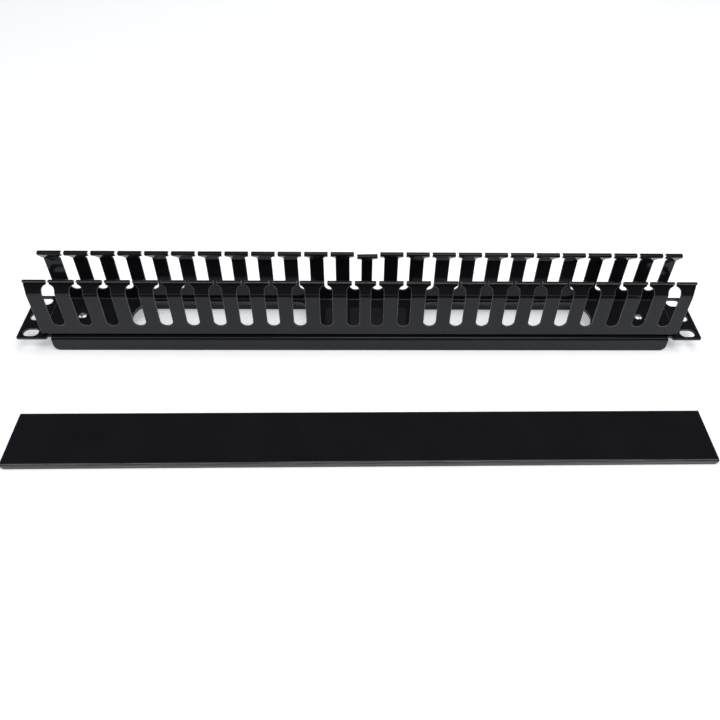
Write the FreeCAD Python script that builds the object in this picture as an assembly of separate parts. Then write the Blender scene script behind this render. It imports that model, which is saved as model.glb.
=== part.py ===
import FreeCAD, Part
import math
import os

os.makedirs("parts", exist_ok=True)

V = FreeCAD.Vector

# Lengths are in millimetres and angles in degrees. X runs along the rack width, Y across one rack unit
# and Z out of the rack's front. Z is zero on the rear face of the ears, where they meet the rack rails.

# Rack panel
panel_width = 482.6
panel_height = 43.65
panel_sheet = 1.5
panel_bend_radius = 0.8
panel_depth = 12.0
flange_corner_radius = 4.5

# Ears and their slots
ear_width = 20.6
ear_corner_radius = 1.75
ear_inner_corner_radius = 0.6
relief_gap = 3.2
relief_slant = 0.8
ear_slot_length = 10.5
ear_slot_width = 7.2
ear_slot_column_inset = 8.75
ear_slot_row_inset = 5.95

# Windows through the panel and the floor of the duct
window_length = 129.0
window_width = 29.0
window_end_inset = 58.0

# Finger duct
duct_end_inset = 17.8
duct_side_inset = 2.525
duct_sheet = 1.0
duct_bend_radius = 1.5
duct_height = 47.5

# The top of each wall is crimped inward and ends in a lip that is folded outward
crimp_reach = 7.9
crimp_turn = 35.0
crimp_radius = 1.5
lip_bend_radius = 0.3
lip_side_inset = 3.0

# Comb slots and heads
comb_pitch = 18.32
comb_slot_width = 8.4
comb_slot_floor = 9.9
comb_slot_crown_inset = 3.0
centre_finger_width = 7.8
least_end_finger = 5.0
head_gap = 1.9
head_flare = 1.2
head_flare_radius = 4.0
near_comb_shift = 0.75
far_comb_shift = 2.05

# One finger at the middle of the far comb is bent inward along a slanted line near its root
dent_angle = 4.6
dent_line_slant = 30.0
dent_height = 18.5
dent_radius = 6.0

# Rivets that hold the duct to the panel
rivet_end_inset = 22.7
rivet_hole_radius = 1.6
rivet_head_radius = 3.0
rivet_head_height = 1.1
rivet_tail_radius = 2.4
rivet_tail_height = 2.4
rivet_recess_radius = 0.9
rivet_recess_depth = 0.6

# Lift-off cover, lying on the floor in front of the panel
cover_end_inset = 2.9
cover_sheet = 1.0
cover_bend_radius = 0.5
cover_height = 4.2
cover_side_clearance = 2.7
cover_lip_slant = 1.7
cover_rest_x = 0.33
cover_rest_y = -99.8
cover_turn = 0.2

# Sizes that follow from the ones above
panel_half_width = panel_width / 2
panel_half_height = panel_height / 2
panel_flat_half = panel_half_height - panel_sheet - panel_bend_radius
flange_half_length = panel_half_width - ear_width - relief_gap
flange_edge = panel_sheet - panel_depth
ear_slot_column = panel_half_width - ear_slot_column_inset
ear_slot_row = panel_half_height - ear_slot_row_inset
duct_half_length = panel_half_width - duct_end_inset
duct_half_width = panel_half_height - duct_side_inset
duct_top = panel_sheet + duct_height
window_centre = duct_half_length - window_end_inset - window_length / 2
rivet_x = duct_half_length - rivet_end_inset
crimp_base = duct_top - crimp_reach
crown_top = duct_top - comb_slot_crown_inset
lip_half_width = duct_half_width - lip_side_inset
crimp = math.radians(crimp_turn)
first_slot = centre_finger_width / 2 + comb_slot_width / 2
slot_room = duct_half_length - least_end_finger - comb_slot_width / 2 - first_slot
slots_each_side = int(slot_room / comb_pitch) + 1
cover_half_length = duct_half_length - cover_end_inset


def flat_loop(corners, place):
    """Closed wire through corners (u, v, radius); place turns a flat (u, v) into a point."""
    points = [place(u, v) for u, v, _ in corners]
    count = len(points)
    runs = []
    for i, (_, _, radius) in enumerate(corners):
        here = points[i]
        back = (points[i - 1] - here).normalize()
        ahead = (points[(i + 1) % count] - here).normalize()
        half = back.getAngle(ahead) / 2
        middle = (back + ahead).normalize()
        setback = radius / math.tan(half)
        reach = radius / math.sin(half) - radius
        runs.append((here + back * setback, here + middle * reach, here + ahead * setback, radius))
    edges = []
    for i, (start, top, end, radius) in enumerate(runs):
        if radius > 0:
            edges.append(Part.Arc(start, top, end).toShape())
        following = runs[(i + 1) % count][0]
        if end.distanceToPoint(following) > 1e-6:
            edges.append(Part.makeLine(end, following))
    return Part.Wire(edges)


def prism(corners, place, push):
    return Part.Face(flat_loop(corners, place)).extrude(push)


def on_level(z):
    return lambda x, y: V(x, y, z)


def across(x):
    return lambda y, z: V(x, y, z)


def upright(y):
    return lambda x, z: V(x, y, z)


def obround(centre_x, centre_y, length, width):
    """Corners of a slot with round ends that runs along the first flat direction."""
    u = length / 2
    v = width / 2
    signs = ((-1, -1), (1, -1), (1, 1), (-1, 1))
    return [(centre_x + a * u, centre_y + b * v, v) for a, b in signs]


def mirrored_x(shape):
    return shape.mirror(V(0, 0, 0), V(1, 0, 0))


def both_ends(shape):
    return [shape, mirrored_x(shape)]


def window_cutters():
    """Two window prisms long enough to pass through the panel and the floor of the duct."""
    corners = obround(window_centre, 0, window_length, window_width)
    deep = prism(corners, on_level(-1), V(0, 0, panel_sheet + duct_sheet + 2))
    return both_ends(deep)


def rivet_hole_cutters():
    hole = Part.makeCylinder(rivet_hole_radius, panel_sheet + duct_sheet + 2, V(rivet_x, 0, -1))
    return both_ends(hole)


def channel_section(half_width, low, high, sheet, bend_radius):
    """Outline of a sheet folded down along both sides, seen along the rack width."""
    inner = half_width - sheet
    fold = bend_radius + sheet
    return [
        (-half_width, low, 0),
        (-half_width, high, fold),
        (half_width, high, fold),
        (half_width, low, 0),
        (inner, low, 0),
        (inner, high - sheet, bend_radius),
        (-inner, high - sheet, bend_radius),
        (-inner, low, 0),
    ]


# ---------------------------------------------------------------- rack panel

def rounded_flanges(body):
    """Round the two free corners at each end of both flanges."""
    picked = []
    for edge in body.Edges:
        box = edge.BoundBox
        at_end = abs(abs(box.Center.x) - flange_half_length) < 1e-4
        at_edge = abs(box.Center.z - flange_edge) < 1e-4
        if at_end and at_edge and abs(box.YLength - panel_sheet) < 1e-4:
            picked.append(edge)
    return body.makeFillet(flange_corner_radius, picked)


def ear():
    """Right-hand ear, up to the end of the flanges."""
    inner = panel_half_width - ear_width
    half = panel_half_height
    flat = panel_flat_half
    neck = inner - relief_slant
    small = ear_inner_corner_radius
    corners = [
        (flange_half_length, -flat, 0),
        (neck, -flat, small),
        (inner, -half, small),
        (panel_half_width, -half, ear_corner_radius),
        (panel_half_width, half, ear_corner_radius),
        (inner, half, small),
        (neck, flat, small),
        (flange_half_length, flat, 0),
    ]
    return prism(corners, on_level(0), V(0, 0, panel_sheet))


def ear_slot_cutters():
    cutters = []
    for row in (-ear_slot_row, 0, ear_slot_row):
        corners = obround(ear_slot_column, row, ear_slot_length, ear_slot_width)
        cutters += both_ends(prism(corners, on_level(-1), V(0, 0, panel_sheet + 2)))
    return cutters


def build_rack_panel():
    section = channel_section(panel_half_height, flange_edge, panel_sheet, panel_sheet, panel_bend_radius)
    folded = prism(section, across(-flange_half_length), V(2 * flange_half_length, 0, 0))
    body = rounded_flanges(folded).fuse(both_ends(ear())).removeSplitter()
    return body.cut(window_cutters() + rivet_hole_cutters() + ear_slot_cutters())


# ---------------------------------------------------------------- finger duct

def duct_section():
    """Folded outline of the floor, the walls with their crimps, and the lips."""
    floor_high = panel_sheet + duct_sheet
    lip_low = duct_top - duct_sheet
    inner = duct_half_width - duct_sheet
    inner_base = crimp_base - duct_sheet * math.tan(crimp / 2)
    outer_corner = duct_half_width - (lip_low - crimp_base) * math.tan(crimp)
    inner_corner = inner - (duct_top - inner_base) * math.tan(crimp)
    half = [
        (duct_half_width, panel_sheet, duct_bend_radius + duct_sheet),
        (duct_half_width, crimp_base, crimp_radius + duct_sheet),
        (outer_corner, lip_low, lip_bend_radius),
        (lip_half_width, lip_low, 0),
        (lip_half_width, duct_top, 0),
        (inner_corner, duct_top, lip_bend_radius + duct_sheet),
        (inner, inner_base, crimp_radius),
        (inner, floor_high, duct_bend_radius),
    ]
    return half + [(-y, z, radius) for y, z, radius in reversed(half)]


def slot_centres(shift):
    places = [first_slot + comb_pitch * i for i in range(slots_each_side)]
    return [shift + x for x in places] + [shift - x for x in places]


def wall_cutter(x, side):
    """Lower part of a comb slot, through the vertical wall; side is -1 for the near wall, 1 for the far."""
    half = comb_slot_width / 2
    low = panel_sheet + comb_slot_floor
    corners = [(x - half, low, half), (x + half, low, half), (x + half, crimp_base, 0), (x - half, crimp_base, 0)]
    return prism(corners, upright(side * duct_half_width - duct_sheet - 2), V(0, 2 * duct_sheet + 4, 0))


def crown_cutter(x, side):
    """Upper part of a comb slot with its round top, square to the crimped part of the wall."""
    half = comb_slot_width / 2
    crown = (crown_top - crimp_base) / math.cos(crimp)
    corners = [(x - half, -1, 0), (x + half, -1, 0), (x + half, crown, half), (x - half, crown, half)]
    cutter = prism(corners, upright(-duct_sheet - 2), V(0, 2 * duct_sheet + 4, 0))
    cutter.rotate(V(0, 0, 0), V(1, 0, 0), side * crimp_turn)
    cutter.translate(V(0, side * duct_half_width, crimp_base))
    return cutter


def gap_cutter(x, side):
    """Narrow gap that parts two heads, from inside the slot's round top up through the lip."""
    low = crown_top - 1.5
    width = duct_half_width / 2
    start_y = width if side > 0 else -2 * width
    return Part.makeBox(head_gap, width, duct_top + 1 - low, V(x - head_gap / 2, start_y, low))


def comb_cutters(side, shift):
    cutters = []
    for x in slot_centres(shift):
        cutters += [wall_cutter(x, side), crown_cutter(x, side), gap_cutter(x, side)]
    return cutters


def wall_end_cutter():
    """Prism that trims the right-hand end of both walls back below their flared heads."""
    flared = duct_half_length + head_flare
    corners = [
        (duct_half_length, -1, 0),
        (duct_half_length, crimp_base, head_flare_radius),
        (flared, crown_top, head_flare_radius),
        (flared, duct_top, 0),
        (flared + 1, duct_top, 0),
        (flared + 1, -1, 0),
    ]
    return prism(corners, upright(-duct_half_width - 1), V(0, 2 * duct_half_width + 2, 0))


def bent_finger(duct):
    """Bend the far comb's middle finger inward about a line that slants across its root."""
    outward = V(0, 1, 0)
    up = V(0, 0, 1)
    slant = math.radians(dent_line_slant)
    axis = V(math.cos(slant), 0, 0) + up * math.sin(slant)
    rise = axis.cross(outward)
    root = V(far_comb_shift, duct_half_width, panel_sheet) + up * dent_height
    pivot = root - outward * (duct_sheet + dent_radius)
    allowance = math.radians(dent_angle) * (dent_radius + duct_sheet / 2)
    near_side = pivot - axis * 30 - outward * 5
    loop = [near_side, near_side + axis * 60, near_side + axis * 60 + outward * 20, near_side + outward * 20]
    cut_face = Part.Face(Part.makePolygon(loop + loop[:1]))
    lane = Part.makeBox(2 * first_slot, 20, duct_top, V(far_comb_shift - first_slot, 5, 0))
    moving = duct.common(cut_face.extrude(rise * 60)).common(lane)
    rest = duct.cut(moving)
    section = cut_face.common(duct).common(lane)
    bend = section.Faces[0].revolve(pivot, axis, dent_angle)
    above = cut_face.translated(rise * allowance).extrude(rise * 60)
    head = moving.common(above)
    head.translate(rise * -allowance)
    head.rotate(pivot, axis, dent_angle)
    return rest.fuse([bend, head]).removeSplitter()


def build_finger_duct():
    end = duct_half_length + head_flare
    duct = prism(duct_section(), across(-end), V(2 * end, 0, 0))
    duct = duct.cut(window_cutters() + rivet_hole_cutters() + both_ends(wall_end_cutter()))
    duct = duct.cut(comb_cutters(-1, near_comb_shift)).cut(comb_cutters(1, far_comb_shift))
    return bent_finger(duct)


# ---------------------------------------------------------------- rivets

def rivet():
    """Set blind rivet: domed head with the stub hole, shank filling its hole, swelled tail."""
    seat = panel_sheet + duct_sheet
    top = seat + rivet_head_height
    crown = 0.55 * rivet_head_radius
    profile = [
        (0, -rivet_tail_height, 0),
        (rivet_tail_radius, -rivet_tail_height, 0.9),
        (rivet_tail_radius, 0, 0.6),
        (rivet_hole_radius, 0, 0),
        (rivet_hole_radius, seat, 0),
        (rivet_head_radius, seat, 0),
        (rivet_head_radius, seat + 0.3 * rivet_head_height, 0.15),
        (crown, top, 1.5),
        (rivet_recess_radius, top, 0.1),
        (rivet_recess_radius, top - rivet_recess_depth, 0),
        (0, top - rivet_recess_depth, 0),
    ]
    half = Part.Face(flat_loop(profile, upright(0)))
    solid = half.revolve(V(0, 0, 0), V(0, 0, 1), 360)
    solid.translate(V(rivet_x, 0, 0))
    return solid


def build_rivets():
    return Part.makeCompound(both_ends(rivet()))


# ---------------------------------------------------------------- cover

def slanted_end_cutter(half_width):
    """Prism that slants the right-hand end of both lips."""
    high = flange_edge + cover_height - cover_bend_radius - cover_sheet
    low = flange_edge
    end = cover_half_length
    corners = [
        (end, high, 0),
        (end - cover_lip_slant, low, 0),
        (end - cover_lip_slant, low - 1, 0),
        (end + 1, low - 1, 0),
        (end + 1, high, 0),
    ]
    return prism(corners, upright(-half_width - 1), V(0, 2 * half_width + 2, 0))


def build_cover():
    half_width = lip_half_width + cover_side_clearance + cover_sheet
    high = flange_edge + cover_height
    section = channel_section(half_width, flange_edge, high, cover_sheet, cover_bend_radius)
    folded = prism(section, across(-cover_half_length), V(2 * cover_half_length, 0, 0))
    cover = folded.cut(both_ends(slanted_end_cutter(half_width)))
    cover.rotate(V(0, 0, 0), V(0, 0, 1), cover_turn)
    cover.translate(V(cover_rest_x, cover_rest_y, 0))
    return cover


NODES = {
    "rack_panel": build_rack_panel,
    "finger_duct": build_finger_duct,
    "rivets": build_rivets,
    "cover": build_cover,
}

for name, build in NODES.items():
    build().exportStep(f"parts/{name}.step")
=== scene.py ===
import math

import bmesh
import bpy
from mathutils import Matrix, Vector


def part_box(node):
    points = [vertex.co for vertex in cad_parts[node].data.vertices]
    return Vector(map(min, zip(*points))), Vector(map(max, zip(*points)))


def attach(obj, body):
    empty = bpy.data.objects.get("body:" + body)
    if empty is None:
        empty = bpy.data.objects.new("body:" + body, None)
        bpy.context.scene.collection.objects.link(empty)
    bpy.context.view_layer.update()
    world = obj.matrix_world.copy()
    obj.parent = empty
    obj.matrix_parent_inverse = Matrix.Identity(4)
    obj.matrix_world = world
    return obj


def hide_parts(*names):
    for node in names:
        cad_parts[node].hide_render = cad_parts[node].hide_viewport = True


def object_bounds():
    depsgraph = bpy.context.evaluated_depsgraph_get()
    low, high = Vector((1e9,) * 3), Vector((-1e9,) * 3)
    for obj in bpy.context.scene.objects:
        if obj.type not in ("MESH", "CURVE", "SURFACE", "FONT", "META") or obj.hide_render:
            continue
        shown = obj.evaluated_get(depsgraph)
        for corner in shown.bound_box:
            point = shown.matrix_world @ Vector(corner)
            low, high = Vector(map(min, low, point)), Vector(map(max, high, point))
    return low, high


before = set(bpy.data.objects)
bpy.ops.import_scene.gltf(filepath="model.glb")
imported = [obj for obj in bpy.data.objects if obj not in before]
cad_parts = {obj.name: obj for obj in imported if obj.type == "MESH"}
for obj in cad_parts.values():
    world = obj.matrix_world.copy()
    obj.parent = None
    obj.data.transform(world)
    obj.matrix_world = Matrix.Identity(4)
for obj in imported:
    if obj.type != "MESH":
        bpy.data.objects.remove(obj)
cad_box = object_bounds()

# Lengths below are in metres unless a name says otherwise, and angles are in degrees.
MM = 0.001

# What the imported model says
panel_low, panel_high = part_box("rack_panel")
duct_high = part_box("finger_duct")[1]
cover_low, cover_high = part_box("cover")
floor_z = cad_box[0][2]

# Rack panel
panel_sheet = panel_high.z
panel_half_width = panel_high.x
panel_half_height = panel_high.y
panel_depth = panel_high.z - panel_low.z
panel_bend_radius = 0.8 * MM
flange_corner_radius = 4.5 * MM

# Ears and their slots
ear_width = 20.6 * MM
ear_corner_radius = 1.75 * MM
ear_inner_corner_radius = 0.6 * MM
relief_gap = 3.2 * MM
relief_slant = 0.8 * MM
relief_corner_radius = 0.3 * MM
ear_slot_length = 10.5 * MM
ear_slot_width = 7.2 * MM
ear_slot_column = panel_half_width - 8.75 * MM
ear_slot_row = panel_half_height - 5.95 * MM

# Finger duct
duct_sheet = 1.0 * MM
duct_bend_radius = 1.5 * MM
duct_height = duct_high.z - panel_sheet
duct_half_width = duct_high.y
head_flare = 1.2 * MM
head_flare_radius = 4.0 * MM
duct_half_length = duct_high.x - head_flare

# The top of each wall leans inward after a gentle start, and ends in a lip that is folded outward
crimp_height = duct_height - 7.9 * MM
crimp_radius = 1.5 * MM
crimp_turn = 35.0
crimp_lead = 2.6 * MM
crimp_lead_turn = 7.0
lip_bend_radius = 0.3 * MM
lip_half_width = duct_half_width - 3.0 * MM

# Comb slots and heads
comb_pitch = 18.32 * MM
comb_slot_width = 8.4 * MM
comb_slot_floor = 9.9 * MM
comb_slot_crown = duct_height - 3.3 * MM
centre_finger_width = 7.8 * MM
least_end_finger = 5.0 * MM
first_slot = centre_finger_width / 2 + comb_slot_width / 2
slot_room = duct_half_length - least_end_finger - comb_slot_width / 2 - first_slot
slots_each_side = int(slot_room / comb_pitch) + 1
head_gap = 1.9 * MM
head_corner_radius = 0.4 * MM
end_head_corner_radius = 0.5 * MM
near_comb_shift = 0.75 * MM
far_comb_shift = 2.05 * MM

# One finger at the middle of the far comb is bent inward along a slanted line near its root
dent_angle = 4.6
dent_line_slant = 30.0
dent_height = 18.5 * MM
dent_radius = 6.0 * MM

# Windows and rivet holes through the panel and the floor of the duct
window_length = 129.0 * MM
window_width = 29.0 * MM
window_centre = duct_half_length - 58.0 * MM - window_length / 2
rivet_x = duct_half_length - 22.7 * MM
rivet_hole_radius = 1.6 * MM

# Cover
cover_sheet = 1.0 * MM
cover_bend_radius = 0.5 * MM
cover_height = cover_high.z - cover_low.z
cover_half_length = duct_half_length - 2.9 * MM
cover_half_width = lip_half_width + 2.7 * MM + cover_sheet
cover_corner_radius = 0.3 * MM
cover_lip_slant = 1.7 * MM
cover_turn = 0.2
cover_centre = (cover_low + cover_high) / 2

# Rounding that the powder coat leaves on every cut edge
coat_edge = 0.3 * MM

# Fineness of the meshes: degrees of arc between two points, pieces of each bend, and the distance
# below which two points are one
ARC_STEP = 9.0
BEND_STEPS = 8
TINY = 1e-7

# Share of a half width that rounds a slot's end, just short of joining two arcs in one point
NEARLY_ALL = 0.9999

# How upright the unit normal of a flat sheet's face is: on the flat sides, and on the rounded rim
FLAT_SIDE = 0.999
RIM_LEAST, RIM_MOST = 0.2, 0.98


# ------------------------------------------------------------------ flat outlines

def rounded(corners):
    """Points of a closed outline from corners (x, w, radius), with each corner turned into an arc."""
    points = []
    count = len(corners)
    for i, (x, w, radius) in enumerate(corners):
        here = Vector((x, w))
        if radius <= 0:
            points.append(here)
            continue
        back = (Vector(corners[i - 1][:2]) - here).normalized()
        ahead = (Vector(corners[(i + 1) % count][:2]) - here).normalized()
        half = back.angle(ahead) / 2
        middle = here + (back + ahead).normalized() * (radius / math.sin(half))
        start = here + back * (radius / math.tan(half)) - middle
        end = here + ahead * (radius / math.tan(half)) - middle
        sweep = start.angle_signed(end)
        steps = max(2, math.ceil(math.degrees(abs(sweep)) / ARC_STEP))
        for k in range(steps + 1):
            turned = Matrix.Rotation(-sweep * k / steps, 2) @ start
            points.append(middle + turned)
    return without_repeats(points)


def without_repeats(points):
    return [p for i, p in enumerate(points) if (p - points[i - 1]).length > TINY]


def obround(x, w, length, width):
    """Outline of a slot with round ends that runs along X."""
    signs = ((-1, -1), (1, -1), (1, 1), (-1, 1))
    radius = width / 2 * NEARLY_ALL
    return rounded([(x + a * length / 2, w + b * width / 2, radius) for a, b in signs])


def mirrored_outline(quarter):
    """Outline from its right-hand near quarter, the same on both sides of both middle lines."""
    right = quarter + [(x, -w, r) for x, w, r in reversed(quarter)]
    return rounded(right + [(-x, -w, r) for x, w, r in right])


def circle(x, w, radius, steps=28):
    angles = [2 * math.pi * k / steps for k in range(steps)]
    return [Vector((x + radius * math.cos(a), w + radius * math.sin(a))) for a in angles]


# ------------------------------------------------------------------ folding

class Fold:
    """Path of a folded sheet's middle surface, from its centre line outwards, the same on both sides.

    Each step is (length, turn in degrees); a turn bends the sheet evenly along its step.
    """

    def __init__(self, level, steps):
        self.level = level
        self.steps = [(length, math.radians(turn)) for length, turn in steps]

    def width(self):
        return sum(length for length, _ in self.steps)

    def place(self, w):
        """(distance from the centre line, height, heading) at flat distance w."""
        y = 0.0
        z = self.level
        heading = 0.0
        left = abs(w)
        last = len(self.steps) - 1
        for i, (length, turn) in enumerate(self.steps):
            run = left if i == last else min(left, length)
            part = turn * run / length
            if turn:
                radius = length / turn
                y += radius * (math.sin(heading + part) - math.sin(heading))
                z += radius * (math.cos(heading) - math.cos(heading + part))
            else:
                y += run * math.cos(heading)
                z += run * math.sin(heading)
            heading += part
            left -= run
            if left <= 0:
                break
        return y, z, heading

    def cuts(self):
        """Flat distances at which a mesh needs edges to follow the bends."""
        found = []
        start = 0.0
        for length, turn in self.steps:
            if turn:
                found += [start + length * k / BEND_STEPS for k in range(BEND_STEPS + 1)]
            start += length
        return found

    def turned(self, w):
        """Rotation that takes the flat sheet's directions to the folded ones at flat distance w."""
        side = -1 if w < 0 else 1
        return Matrix.Rotation(side * self.place(w)[2], 3, "X")

    def bend(self, point):
        """Where a point (x, w, offset) of the flat sheet goes."""
        side = -1 if point.y < 0 else 1
        y, z, heading = self.place(point.y)
        y -= point.z * math.sin(heading)
        z += point.z * math.cos(heading)
        return Vector((point.x, side * y, z))


def flat_sheet(loops, thickness):
    """Mesh of a flat sheet with holes and rounded cut edges, centred on its middle surface."""
    curve = bpy.data.curves.new("sheet_outline", "CURVE")
    curve.dimensions = "2D"
    curve.fill_mode = "BOTH"
    curve.extrude = thickness / 2 - coat_edge
    curve.bevel_depth = coat_edge
    curve.bevel_resolution = 2
    curve.offset = -coat_edge
    for loop in loops:
        spline = curve.splines.new("POLY")
        spline.points.add(len(loop) - 1)
        for point, at in zip(spline.points, loop):
            point.co = (at.x, at.y, 0, 1)
        spline.use_cyclic_u = True
    holder = bpy.data.objects.new("sheet_outline", curve)
    bpy.context.scene.collection.objects.link(holder)
    bpy.context.view_layer.update()
    evaluated = holder.evaluated_get(bpy.context.evaluated_depsgraph_get())
    mesh = bpy.data.meshes.new_from_object(evaluated)
    bpy.data.objects.remove(holder)
    bpy.data.curves.remove(curve)
    return mesh


def cut_along(bm, point, normal):
    """Add edges where a plane crosses the mesh."""
    everything = bm.verts[:] + bm.edges[:] + bm.faces[:]
    bmesh.ops.bisect_plane(bm, geom=everything, plane_co=point, plane_no=normal, dist=TINY)


def corner_normals(bm, thickness):
    """Normals of a flat sheet's face corners: its flat sides stay flat and its cut edges look round."""
    side_level = thickness / 2 - 2e-6
    rim = {}
    for vert in bm.verts:
        total = Vector()
        for face in vert.link_faces:
            if abs(face.normal.z) < FLAT_SIDE:
                total += face.normal * face.calc_area() ** 0.5
        rim[vert.index] = total.normalized() if total.length > 0 else Vector((0, 0, 1))
    normals = []
    for face in bm.faces:
        for loop in face.loops:
            level = loop.vert.co.z
            if abs(level) > side_level:
                normals.append(Vector((0, 0, math.copysign(1, level))))
            else:
                normals.append(rim[loop.vert.index])
    return normals


def folded_sheet(name, loops, thickness, fold, folds_here=lambda point: True, reshape=None, extra_cuts=()):
    """A sheet-metal piece: cut flat, then folded."""
    mesh = flat_sheet(loops, thickness)
    bm = bmesh.new()
    bm.from_mesh(mesh)
    bmesh.ops.remove_doubles(bm, verts=bm.verts, dist=1e-6)
    for w in fold.cuts():
        cut_along(bm, (0, w, 0), (0, 1, 0))
        cut_along(bm, (0, -w, 0), (0, 1, 0))
    for point, normal in extra_cuts:
        cut_along(bm, point, normal)
    bmesh.ops.recalc_face_normals(bm, faces=bm.faces)
    bm.verts.index_update()
    bm.normal_update()
    normals = corner_normals(bm, thickness)
    corners = [loop.vert for face in bm.faces for loop in face.loops]
    turned = []
    for vert, normal in zip(corners, normals):
        folded = folds_here(vert.co)
        turned.append(fold.turned(vert.co.y) @ normal if folded else normal)
    places = {}
    for vert in bm.verts:
        at = vert.co.copy()
        places[vert.index] = fold.bend(at) if folds_here(at) else at + Vector((0, 0, fold.level))
    if reshape:
        turned = [reshape(places[v.index], n, v.co)[1] for v, n in zip(corners, turned)]
        places = {v.index: reshape(places[v.index], Vector(), v.co)[0] for v in bm.verts}
    for face in bm.faces:
        # Rim faces take the second material, a painted highlight along the cut edges
        face.material_index = 1 if RIM_LEAST < abs(face.normal.z) < RIM_MOST else 0
    for vert in bm.verts:
        vert.co = places[vert.index]
    for face in bm.faces:
        face.smooth = True
    bm.to_mesh(mesh)
    bm.free()
    mesh.name = name
    mesh.normals_split_custom_set([tuple(n) for n in turned])
    piece = bpy.data.objects.new(name, mesh)
    bpy.context.scene.collection.objects.link(piece)
    return piece


# ------------------------------------------------------------------ rack panel

def panel_fold():
    middle = panel_bend_radius + panel_sheet / 2
    flat = panel_half_height - panel_sheet - panel_bend_radius
    drop = panel_depth - panel_sheet - panel_bend_radius
    return Fold(panel_sheet / 2, [(flat, 0), (middle * math.pi / 2, -90), (drop, 0)])


def panel_outline():
    fold = panel_fold()
    flat = fold.steps[0][0]
    reach = fold.width()
    flange_end = panel_half_width - ear_width - relief_gap
    inner = panel_half_width - ear_width
    small = ear_inner_corner_radius
    quarter = [
        (flange_end, -reach, flange_corner_radius),
        (flange_end, -flat, relief_corner_radius),
        (inner - relief_slant, -flat, small),
        (inner, -panel_half_height, small),
        (panel_half_width, -panel_half_height, ear_corner_radius),
    ]
    return mirrored_outline(quarter)


def floor_openings():
    """Outlines of the windows and rivet holes, which the panel and the duct share."""
    loops = []
    for side in (-1, 1):
        loops.append(obround(side * window_centre, 0, window_length, window_width))
        loops.append(circle(side * rivet_x, 0, rivet_hole_radius))
    return loops


def build_panel():
    loops = [panel_outline()] + floor_openings()
    for side in (-1, 1):
        for row in (-ear_slot_row, 0, ear_slot_row):
            loops.append(obround(side * ear_slot_column, row, ear_slot_length, ear_slot_width))
    gap_middle = panel_half_width - ear_width - relief_gap / 2
    return folded_sheet(
        "folded_panel", loops, panel_sheet, panel_fold(), folds_here=lambda p: abs(p.x) < gap_middle
    )


# ------------------------------------------------------------------ finger duct

def duct_fold():
    """Floor, vertical wall, inward crimp with a gentle start, and outward lip."""
    turn = math.radians(crimp_turn)
    lip_turn = 90 + crimp_turn
    floor_bend = duct_bend_radius + duct_sheet / 2
    crimp_bend = crimp_radius + duct_sheet / 2
    lip_bend = lip_bend_radius + duct_sheet / 2
    crimp_start = crimp_height - (crimp_radius + duct_sheet) * math.tan(turn / 2)
    wall = crimp_start - crimp_lead - duct_sheet / 2 - floor_bend
    sharp_turn = crimp_turn - crimp_lead_turn
    steps = [
        (duct_half_width - duct_sheet / 2 - floor_bend, 0),
        (floor_bend * math.pi / 2, 90),
        (wall, 0),
        (crimp_lead, crimp_lead_turn),
        (crimp_bend * math.radians(sharp_turn), sharp_turn),
    ]
    level = panel_sheet + duct_sheet / 2
    slope_y, slope_z, _ = Fold(level, steps).place(sum(length for length, _ in steps))
    lip_level = panel_sheet + duct_height - duct_sheet / 2
    slope = (lip_level - lip_bend * (1 + math.sin(turn)) - slope_z) / math.cos(turn)
    lip = lip_half_width - (slope_y - slope * math.sin(turn) + lip_bend * math.cos(turn))
    return Fold(level, steps + [(slope, 0), (lip_bend * math.radians(lip_turn), -lip_turn), (lip, 0)])


def flat_height(height):
    """Flat distance from the duct's centre line of a height on its wall above the panel."""
    fold = duct_fold()
    low, high = 0.0, fold.width()
    halvings = 40
    for _ in range(halvings):
        middle = (low + high) / 2
        if fold.place(middle)[1] < panel_sheet + height:
            low = middle
        else:
            high = middle
    return low


def comb_slot(tip):
    """Left-to-right outline of a slot from the tip of the comb down round its floor and back."""
    half = comb_slot_width / 2
    neck = head_gap / 2
    centre = flat_height(comb_slot_crown) - half
    start = math.asin(neck / half)
    steps = 12
    left = []
    for k in range(steps + 1):
        a = start + (math.pi / 2 - start) * k / steps
        left.append((-half * math.sin(a), centre + half * math.cos(a), 0))
    low = flat_height(comb_slot_floor)
    shoulder = [(-neck, tip, head_corner_radius)] + left + [(-half, low, half * NEARLY_ALL)]
    return shoulder + [(-x, v, r) for x, v, r in reversed(shoulder)]


def duct_outline():
    """Flat duct with both combs, from its near left corner round to its far left corner."""
    tip = duct_fold().width()
    offsets = [first_slot + comb_pitch * k for k in range(slots_each_side)]
    centres = sorted([-x for x in offsets] + offsets)
    head_end = [
        (duct_half_length, flat_height(crimp_height), head_flare_radius),
        (duct_half_length + head_flare, flat_height(comb_slot_crown), head_flare_radius),
        (duct_half_length + head_flare, tip, end_head_corner_radius),
    ]
    corners = [(-x, -w, r) for x, w, r in head_end]
    for x in centres:
        corners += [(x + near_comb_shift + dx, -w, r) for dx, w, r in comb_slot(tip)]
    corners += [(x, -w, r) for x, w, r in reversed(head_end)]
    corners += head_end
    for x in reversed(centres):
        corners += [(x + far_comb_shift - dx, w, r) for dx, w, r in comb_slot(tip)]
    corners += [(-x, w, r) for x, w, r in reversed(head_end)]
    return rounded(corners)


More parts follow.
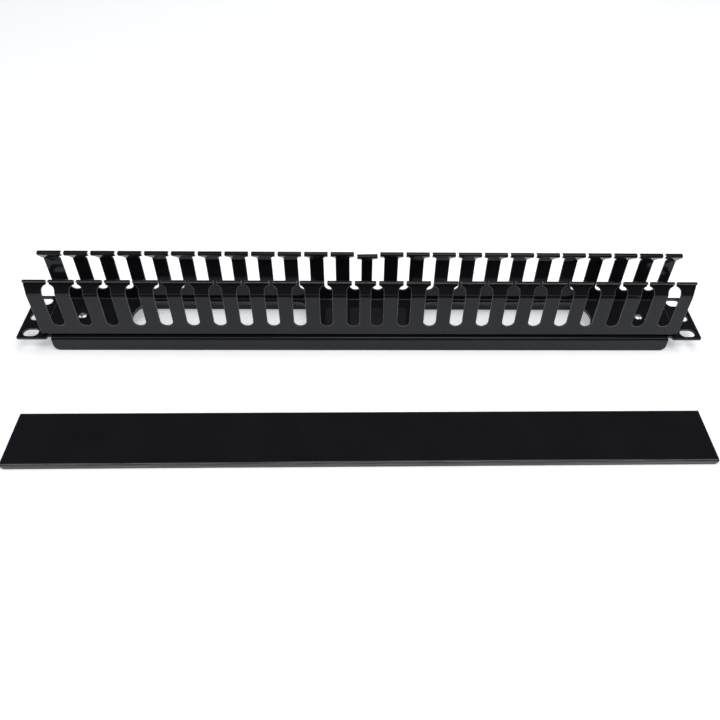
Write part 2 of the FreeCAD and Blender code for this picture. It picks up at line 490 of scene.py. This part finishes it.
def bent_finger():
    """How the far comb's middle finger bends inward: a reshape for the folded duct, and its cuts."""
    slant = math.radians(dent_line_slant)
    angle = math.radians(dent_angle)
    allowance = angle * (dent_radius + duct_sheet / 2)
    outward = Vector((0, 1, 0))
    axis = Vector((math.cos(slant), 0, math.sin(slant)))
    rise = axis.cross(outward)
    root = Vector((far_comb_shift, duct_half_width, panel_sheet + dent_height))
    pivot = root - outward * (duct_sheet + dent_radius)

    def dented(at, normal, flat):
        if flat.y < 0 or abs(at.x - far_comb_shift) > first_slot:
            return at, normal
        above = (at - pivot).dot(rise)
        if above <= 0 or at.z < dent_height / 2:
            return at, normal
        share = min(1.0, above / allowance)
        turn = Matrix.Rotation(angle * share, 3, axis)
        start = at - rise * min(above, allowance)
        return pivot + turn @ (start - pivot), turn @ normal

    flat_root = Vector((far_comb_shift, flat_height(dent_height), 0))
    across = Vector((-math.sin(slant), math.cos(slant), 0))
    pieces = 4
    cuts = [(flat_root + across * (allowance * k / pieces), across) for k in range(pieces + 1)]
    return dented, cuts


def build_duct():
    loops = [duct_outline()] + floor_openings()
    dented, cuts = bent_finger()
    return folded_sheet("folded_duct", loops, duct_sheet, duct_fold(), reshape=dented, extra_cuts=cuts)


# ------------------------------------------------------------------ cover

def cover_fold():
    middle = cover_bend_radius + cover_sheet / 2
    flat = cover_half_width - cover_sheet - cover_bend_radius
    drop = cover_height - cover_sheet - cover_bend_radius
    return Fold(-cover_sheet / 2, [(flat, 0), (middle * math.pi / 2, -90), (drop, 0)])


def build_cover():
    fold = cover_fold()
    reach = fold.width()
    lip_start = fold.steps[0][0] + fold.steps[1][0]
    quarter = [
        (cover_half_length - cover_lip_slant, -reach, cover_corner_radius),
        (cover_half_length, -lip_start, cover_corner_radius),
    ]
    piece = folded_sheet("folded_cover", [mirrored_outline(quarter)], cover_sheet, fold)
    place = Matrix.Translation((cover_centre.x, cover_centre.y, cover_high.z))
    piece.data.transform(place @ Matrix.Rotation(math.radians(cover_turn), 4, "Z"))
    return piece


# ------------------------------------------------------------------ materials

def new_material(name):
    material = bpy.data.materials.new(name)
    material.use_nodes = True
    tree = material.node_tree
    return material, tree, tree.nodes["Principled BSDF"]


def noise(tree, place, scale, detail=2):
    texture = tree.nodes.new("ShaderNodeTexNoise")
    texture.inputs["Scale"].default_value = scale
    texture.inputs["Detail"].default_value = detail
    tree.links.new(place, texture.inputs["Vector"])
    return texture.outputs["Fac"]


def ranged(tree, value, low, high, start=0.0, end=1.0):
    """Output that goes from low to high while the value goes from start to end."""
    spread = tree.nodes.new("ShaderNodeMapRange")
    spread.inputs["From Min"].default_value = start
    spread.inputs["From Max"].default_value = end
    spread.inputs["To Min"].default_value = low
    spread.inputs["To Max"].default_value = high
    tree.links.new(value, spread.inputs["Value"])
    return spread.outputs["Result"]


def black_coat(name, scuffed_and_sheen_sides=False):
    """Glossy black powder coat: a faint orange peel, and a tone and a roughness that drift a little.

    Optionally the upright sides turn greyer: fine lengthwise scratches from handling, plus a painted
    reflection of the bright floor in front.
    """
    material, tree, shader = new_material(name)
    shader.inputs["Specular IOR Level"].default_value = 0.26
    shader.inputs["Specular Tint"].default_value = (0.86, 0.89, 1.0, 1)
    where = tree.nodes.new("ShaderNodeTexCoord")
    place = where.outputs["Object"]
    peel = tree.nodes.new("ShaderNodeBump")
    peel.inputs["Strength"].default_value = 0.04
    peel.inputs["Distance"].default_value = 0.0002
    tree.links.new(noise(tree, place, 900), peel.inputs["Height"])
    tree.links.new(peel.outputs["Normal"], shader.inputs["Normal"])
    drift = noise(tree, place, 35)
    tree.links.new(ranged(tree, drift, 0.04, 0.08), shader.inputs["Roughness"])
    tint = tree.nodes.new("ShaderNodeValToRGB")
    tint.color_ramp.elements[0].color = (0.007, 0.007, 0.0085, 1)
    tint.color_ramp.elements[1].color = (0.013, 0.013, 0.0165, 1)
    tree.links.new(drift, tint.inputs["Fac"])
    tone = tint.outputs["Color"]
    if scuffed_and_sheen_sides:
        tone = scratches_and_painted_sheen(tree, where, tone)
    tree.links.new(tone, shader.inputs["Base Color"])
    return material


def scratches_and_painted_sheen(tree, where, tone):
    """Adds a fine lengthwise scratch pattern and a painted reflection of the bright floor to a tone, on
    faces that look along Y.
    """
    stretch = tree.nodes.new("ShaderNodeMapping")
    stretch.inputs["Scale"].default_value = (40, 900, 2600)
    tree.links.new(where.outputs["Object"], stretch.inputs["Vector"])
    scratches = noise(tree, stretch.outputs["Vector"], 1, detail=6)
    strength = ranged(tree, scratches, 0.02, 0.15, start=0.3, end=0.75)
    parts = tree.nodes.new("ShaderNodeSeparateXYZ")
    tree.links.new(where.outputs["Normal"], parts.inputs["Vector"])
    sideways = tree.nodes.new("ShaderNodeMath")
    sideways.operation = "ABSOLUTE"
    tree.links.new(parts.outputs["Y"], sideways.inputs[0])
    fade = ranged(tree, sideways.outputs["Value"], 0, 1, start=0.15, end=0.4)
    # Greyer upright faces: fine scratches plus a painted reflection of the bright floor in front
    scratch_and_sheen = tree.nodes.new("ShaderNodeMath")
    scratch_and_sheen.operation = "MULTIPLY"
    tree.links.new(strength, scratch_and_sheen.inputs[0])
    tree.links.new(fade, scratch_and_sheen.inputs[1])
    total = tree.nodes.new("ShaderNodeVectorMath")
    total.operation = "ADD"
    tree.links.new(scratch_and_sheen.outputs["Value"], total.inputs[0])
    tree.links.new(tone, total.inputs[1])
    return total.outputs["Vector"]


def speckled(name, scale, tones, roughness, metallic=0.0):
    """Plain material whose grey tone and roughness both follow one fine noise."""
    material, tree, shader = new_material(name)
    shader.inputs["Metallic"].default_value = metallic
    where = tree.nodes.new("ShaderNodeTexCoord")
    grain = noise(tree, where.outputs["Object"], scale)
    tree.links.new(ranged(tree, grain, *tones), shader.inputs["Base Color"])
    tree.links.new(ranged(tree, grain, *roughness), shader.inputs["Roughness"])
    return material


def painted_rim_highlight():
    """Greyer tone on the rounded rim of a cut edge: a painted highlight along the cut edges."""
    return speckled("rim_painted_highlight", 220, tones=(0.05, 0.14), roughness=(0.2, 0.35))


def bare_aluminium():
    return speckled("rivet_aluminium", 1200, tones=(0.62, 0.78), roughness=(0.25, 0.4), metallic=1.0)


def floor_white():
    material, _, shader = new_material("studio_floor")
    shader.inputs["Base Color"].default_value = (0.9, 0.9, 0.9, 1)
    shader.inputs["Roughness"].default_value = 0.9
    shader.inputs["Emission Color"].default_value = (0.96, 0.99, 1.05, 1)
    shader.inputs["Emission Strength"].default_value = 0.38
    return material


# ------------------------------------------------------------------ studio

def build_floor():
    half_width = 3.0
    signs = ((-1, -1), (1, -1), (1, 1), (-1, 1))
    corners = [(a * half_width, b * half_width, floor_z) for a, b in signs]
    mesh = bpy.data.meshes.new("studio_floor")
    mesh.from_pydata(corners, [], [(0, 1, 2, 3)])
    floor = bpy.data.objects.new("studio_floor", mesh)
    bpy.context.scene.collection.objects.link(floor)
    floor.data.materials.append(floor_white())


def area_light(name, place, target, size, power, shape="RECTANGLE"):
    data = bpy.data.lights.new(name, "AREA")
    data.shape = shape
    data.size, data.size_y = size
    data.energy = power
    light = bpy.data.objects.new(name, data)
    light.location = place
    aim = Vector(target) - Vector(place)
    light.rotation_euler = aim.to_track_quat("-Z", "Y").to_euler()
    bpy.context.scene.collection.objects.link(light)


def build_lights():
    """A round softbox and a strip overhead, weaker softboxes round them, and a dim room."""
    part = (0, 0, 0)
    area_light("key_softbox", (0.2, 0.14, 1.2), part, (0.9, 0.9), 6.5, "DISK")
    area_light("strip_softbox", (0, -0.48, 1.15), part, (1.8, 0.28), 5.5)
    area_light("rear_softbox", (0.05, 1.5, 1.4), part, (1.0, 0.7), 0.5)
    area_light("backdrop_softbox", (0, 1.3, 0.6), (0, 1.3, 0), (2.0, 0.5), 3.6)
    for side in (-1, 1):
        area_light("side_softbox", (side * 1.3, -0.1, 0.75), part, (0.9, 0.7), 4)
    world = bpy.data.worlds.new("studio")
    bpy.context.scene.world = world
    world.use_nodes = True
    room = world.node_tree.nodes["Background"]
    room.inputs["Color"].default_value = (0.95, 0.98, 1.0, 1)
    room.inputs["Strength"].default_value = 0.045


def build_camera():
    """Camera at the viewing angle of a product shot: in front of the panel, looking down on it."""
    elevation = math.radians(42.99)
    yaw = math.radians(2.45)
    roll = math.radians(-1.84)
    distance = 513.16 * MM
    target = Vector((11.155 * MM, 0, 15.136 * MM + panel_sheet))
    ahead = Vector((math.sin(yaw), math.cos(yaw), 0))
    forward = ahead * math.cos(elevation) - Vector((0, 0, math.sin(elevation)))
    right = Vector((math.cos(yaw), -math.sin(yaw), 0))
    down = forward.cross(right)
    image_x = math.cos(roll) * right + math.sin(roll) * down
    image_y = -math.sin(roll) * right + math.cos(roll) * down
    turn = Matrix((image_x, -image_y, -forward)).transposed().to_4x4()
    data = bpy.data.cameras.new("photo_camera")
    data.sensor_width = 36
    data.lens = 36.075
    data.shift_x = -0.0272
    data.shift_y = -0.0808
    camera = bpy.data.objects.new("photo_camera", data)
    camera.matrix_world = Matrix.Translation(target - forward * distance) @ turn
    bpy.context.scene.collection.objects.link(camera)
    bpy.context.scene.camera = camera


coat = black_coat("black_powder_coat")
# The cover's upright sides get fine scratches and a painted reflection of the bright floor in front
cover_coat = black_coat("scuffed_coat_with_painted_sheen", scuffed_and_sheen_sides=True)
# Painted highlight for the rims of cut edges
rim_highlight_coat = painted_rim_highlight()
for build, node, body, finish in (
    (build_panel, "rack_panel", "manager", coat),
    (build_duct, "finger_duct", "manager", coat),
    (build_cover, "cover", "lid", cover_coat),
):
    piece = build()
    piece.data.materials.append(finish)
    piece.data.materials.append(rim_highlight_coat)
    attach(piece, body)
    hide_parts(node)

rivet_metal = bare_aluminium()
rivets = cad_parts["rivets"]
for slot in rivets.material_slots:
    slot.material = rivet_metal

build_floor()
build_lights()
build_camera()
bpy.context.scene.view_settings.view_transform = "Standard"
